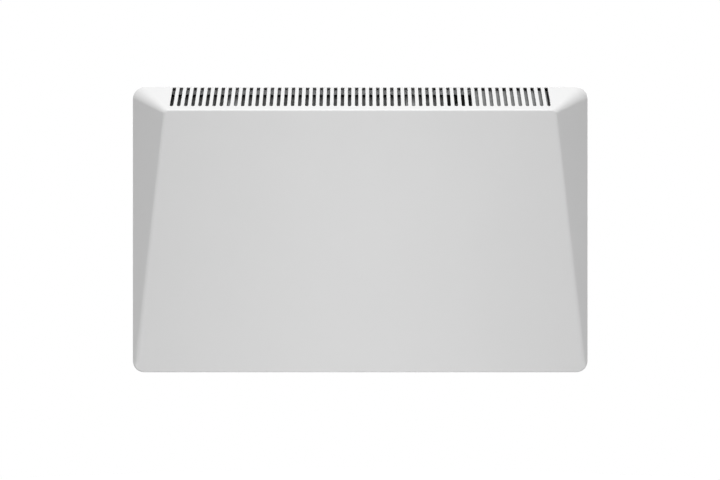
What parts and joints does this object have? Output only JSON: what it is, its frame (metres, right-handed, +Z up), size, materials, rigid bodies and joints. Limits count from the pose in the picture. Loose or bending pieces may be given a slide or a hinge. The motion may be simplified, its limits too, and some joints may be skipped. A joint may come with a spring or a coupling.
{
  "type": "wall panel convector heater",
  "caption": "White electric panel convector for a wall, its front leaning out to a slotted sloping top, on a steel bracket on which it tilts forward, with dial and switch underneath.",
  "frame": {"origin": "on the wall, at the centre of the wall bracket's four screw holes", "axes": "+Z up, +Y into the wall, +X to the right of a person who faces the heater; the front faces -Y"},
  "size_m": [0.686, 0.1078, 0.43],
  "materials": {
    "enamel": "satin white stove enamel",
    "galvanised": "galvanised sheet",
    "zinc": "zinc plated",
    "nylon": "glass-filled nylon",
    "aluminium": "pressed aluminium",
    "sheath": "heat-darkened steel sheath",
    "ceramic": "steatite",
    "tub": "fine textured moulding",
    "dial": "fine textured moulding",
    "switch": "moulded",
    "rocker": "polished moulding",
    "lens": "translucent amber",
    "rubber": "moulded rubber",
    "phenolic": "phenolic moulding",
    "brass": "nickel free brass",
    "lead_blue": "silicone insulation",
    "lead_brown": "silicone insulation",
    "lead_green": "silicone insulation"
  },
  "bodies": {
    "bracket": {"wall_bracket": "galvanised"},
    "heater": {"front_casing": "enamel", "rear_panel": "galvanised", "casing_screws": "zinc", "heat_shield": "galvanised", "element_bracket_left": "galvanised", "element_bracket_right": "galvanised", "element_bush_left": "ceramic", "element_bush_right": "ceramic", "front_baffle": "galvanised", "heating_rod": "sheath", "element_profile": "aluminium", "thermal_cutout": "phenolic", "control_box": "galvanised", "box_screws": "zinc", "box_grommet": "rubber", "control_tub": "tub", "thermostat": "phenolic", "thermostat_nut": "brass", "switch_body": "switch", "pilot_lamp": "lens", "terminal_block": "ceramic", "terminal_screws": "brass", "cable_gland": "rubber", "earth_stud": "brass", "earth_nut": "brass", "lead_neutral": "lead_blue", "lead_element": "lead_brown", "lead_cutout": "lead_brown", "lead_live": "lead_brown", "lead_switch": "lead_brown", "lead_earth": "lead_green", "thermostat_bulb": "brass", "bulb_clip": "zinc"},
    "catch_left": {"catch_left": "nylon"},
    "catch_right": {"catch_right": "nylon"},
    "dial": {"thermostat_dial": "dial", "thermostat_shaft": "brass"},
    "rocker": {"switch_rocker": "rocker"}
  },
  "joints": [
    {"name": "heater_tilt", "type": "hinge", "parent": "bracket", "child": "heater", "pos_m": [0, -0.0105, -0.2], "axis": [1, 0, 0], "range_deg": [0, 20]},
    {"name": "catch_left_turn", "type": "hinge", "parent": "bracket", "child": "catch_left", "pos_m": [-0.15, -0.007, 0.183], "axis": [0, -1, 0], "range_deg": [0, 90]},
    {"name": "catch_right_turn", "type": "hinge", "parent": "bracket", "child": "catch_right", "pos_m": [0.15, -0.007, 0.183], "axis": [0, 1, 0], "range_deg": [0, 90]},
    {"name": "dial_turn", "type": "hinge", "parent": "heater", "child": "dial", "pos_m": [0.199, -0.029, -0.205], "axis": [0, 0, 1], "range_deg": [0, 270]},
    {"name": "switch_rock", "type": "hinge", "parent": "heater", "child": "rocker", "pos_m": [0.238, -0.029, -0.197], "axis": [0, 1, 0], "range_deg": [0, 20]}
  ]
}
